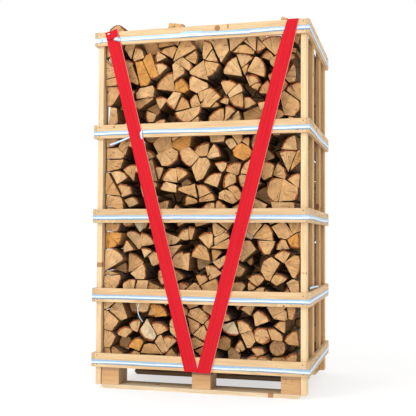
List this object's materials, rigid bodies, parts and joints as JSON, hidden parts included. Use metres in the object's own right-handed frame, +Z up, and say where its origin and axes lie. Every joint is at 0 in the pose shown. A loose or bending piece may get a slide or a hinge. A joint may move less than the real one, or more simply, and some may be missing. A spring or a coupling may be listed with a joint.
{
  "type": "palletised firewood crate",
  "caption": "Tall slatted wooden crate on a block pallet, filled with stacked split logs, with steel straps round its board rings and red webbing in a V across the open front.",
  "frame": {"origin": "on the floor, under the middle of the crate's plan", "axes": "+Z up, +X to the right along the open front, -Y the front that carries the webbing"},
  "size_m": [1.2026, 0.9282, 2.019],
  "materials": {
    "crate_pine": "sawn, unfinished, with knots",
    "pallet_wood": "rough sawn, weathered",
    "split_logs": "split wood with sawn ends and rough bark",
    "galvanised_strap": "bright galvanised",
    "red_webbing": "woven, lightly worn",
    "nail_steel": "dull"
  },
  "bodies": {
    "root": {"base_rail_back": "pallet_wood", "base_rail_front": "pallet_wood", "base_rail_middle": "pallet_wood", "block_back_left": "pallet_wood", "block_back_middle": "pallet_wood", "block_back_right": "pallet_wood", "block_front_left": "pallet_wood", "block_front_middle": "pallet_wood", "block_front_right": "pallet_wood", "block_middle_left": "pallet_wood", "block_middle_middle": "pallet_wood", "block_middle_right": "pallet_wood", "deck_board_1": "pallet_wood", "deck_board_2": "pallet_wood", "deck_board_3": "pallet_wood", "deck_board_4": "pallet_wood", "deck_board_5": "pallet_wood", "firewood_row_back": "split_logs", "firewood_row_front": "split_logs", "firewood_row_middle": "split_logs", "post_left_1": "crate_pine", "post_left_2": "crate_pine", "post_left_3": "crate_pine", "post_left_4": "crate_pine", "post_right_1": "crate_pine", "post_right_2": "crate_pine", "post_right_3": "crate_pine", "post_right_4": "crate_pine", "ring_1_back_board": "crate_pine", "ring_1_front_board": "crate_pine", "ring_1_left_board": "crate_pine", "ring_1_right_board": "crate_pine", "ring_2_back_board": "crate_pine", "ring_2_front_board": "crate_pine", "ring_2_left_board": "crate_pine", "ring_2_right_board": "crate_pine", "ring_3_back_board": "crate_pine", "ring_3_front_board": "crate_pine", "ring_3_left_board": "crate_pine", "ring_3_right_board": "crate_pine", "ring_4_back_board": "crate_pine", "ring_4_front_board": "crate_pine", "ring_4_left_board": "crate_pine", "ring_4_right_board": "crate_pine", "ring_5_back_board": "crate_pine", "ring_5_front_board": "crate_pine", "ring_5_left_board": "crate_pine", "ring_5_right_board": "crate_pine", "strap_ring_1": "galvanised_strap", "strap_ring_2": "galvanised_strap", "strap_ring_3": "galvanised_strap", "strap_ring_4": "galvanised_strap", "strap_ring_5": "galvanised_strap", "stringer_left": "pallet_wood", "stringer_middle": "pallet_wood", "stringer_right": "pallet_wood", "webbing_left": "red_webbing", "webbing_right": "red_webbing"}
  },
  "joints": []
}
